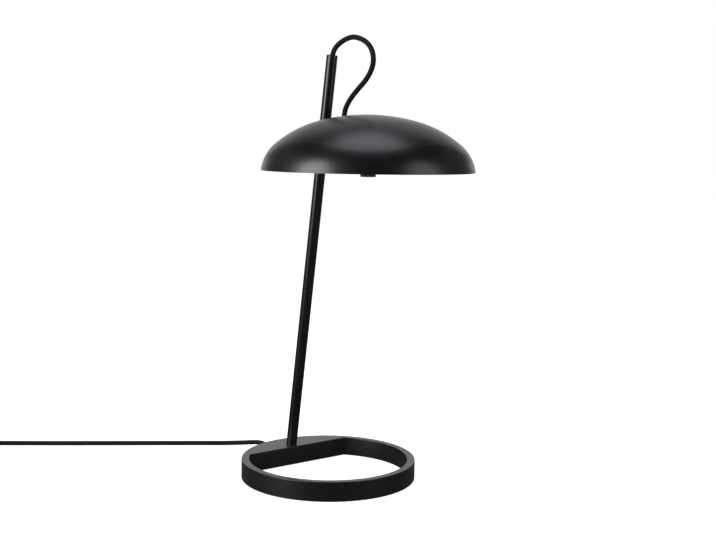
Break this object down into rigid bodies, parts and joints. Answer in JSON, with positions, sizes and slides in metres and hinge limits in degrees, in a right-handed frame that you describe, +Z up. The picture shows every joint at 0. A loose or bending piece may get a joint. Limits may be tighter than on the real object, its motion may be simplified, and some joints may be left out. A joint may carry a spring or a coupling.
{
  "type": "desk lamp",
  "caption": "Desk lamp with a dome shade that slides and tilts on a leaning stem, a weighted ring base, a knob under the shade and a textile cord.",
  "frame": {"origin": "on the desk, under the middle of the footprint of lamp and shade, cord left out", "axes": "+Z up; the shade reaches out towards -Y and the stem stands at the back, towards +Y"},
  "size_m": [0.5081, 0.6014, 0.4762],
  "materials": {
    "base_paint": "fine matt black paint",
    "stem_paint": "satin black paint",
    "shade_paint": "spun aluminium in satin black paint",
    "black_steel": "blackened steel",
    "zinc_steel": "zinc plated",
    "rubber": "matt",
    "black_plastic": "fine grain",
    "nylon": "natural nylon",
    "cord_textile": "black braided textile",
    "ceramic": "glazed ceramic",
    "opal": "opal, satin",
    "lamp_glass": "frosted glass",
    "lead_sleeve": "woven heat sleeve",
    "pin_metal": "nickel plated"
  },
  "bodies": {
    "stand": {"base_ring": "base_paint", "base_cover": "black_steel", "cover_screws": "zinc_steel", "cover_pad": "rubber", "foot_pads": "rubber", "stem_tube": "stem_paint", "stem_stud": "zinc_steel", "taper_washer": "zinc_steel", "stem_nut": "zinc_steel", "stem_bush": "black_plastic", "inner_cord": "cord_textile", "cord_gland": "rubber", "loop_cord": "cord_textile", "mains_cord": "cord_textile", "mains_cord_coil": "cord_textile", "cord_tail": "cord_textile", "plug_body": "black_plastic", "plug_pins": "pin_metal"},
    "slider": {"slider_body": "black_steel", "slider_liner": "nylon", "tension_screw": "zinc_steel", "pivot_screws": "zinc_steel", "friction_washers": "nylon"},
    "shade": {"shade_shell": "shade_paint", "cord_grommet": "rubber", "mounting_plate": "zinc_steel", "standoffs": "zinc_steel", "standoff_nuts": "zinc_steel", "terminal_block": "nylon", "shade_cord": "cord_textile", "dimmer_body": "black_plastic", "centre_tube": "zinc_steel", "tube_nut": "zinc_steel", "diffuser": "opal", "diffuser_nuts": "zinc_steel", "lampholder_left": "ceramic", "lampholder_right": "ceramic", "bulb_left": "lamp_glass", "bulb_right": "lamp_glass", "lamp_leads": "lead_sleeve"},
    "knob": {"dimmer_shaft": "zinc_steel", "dimmer_knob": "black_plastic"}
  },
  "joints": [
    {"name": "shade_slide", "type": "slide", "parent": "stand", "child": "slider", "axis": [0, -0.1582, 0.9874], "range_m": [-0.06, 0.045], "deforming": ["loop_cord"]},
    {"name": "shade_tilt", "type": "hinge", "parent": "slider", "child": "shade", "pos_m": [0, 0.05798, 0.34902], "axis": [1, 0, 0], "range_deg": [-15, 15], "deforming": ["loop_cord"]},
    {"name": "dimmer_turn", "type": "hinge", "parent": "shade", "child": "knob", "pos_m": [0, -0.02402, 0.33602], "axis": [0, 0, -1], "range_deg": [0, 270]}
  ]
}
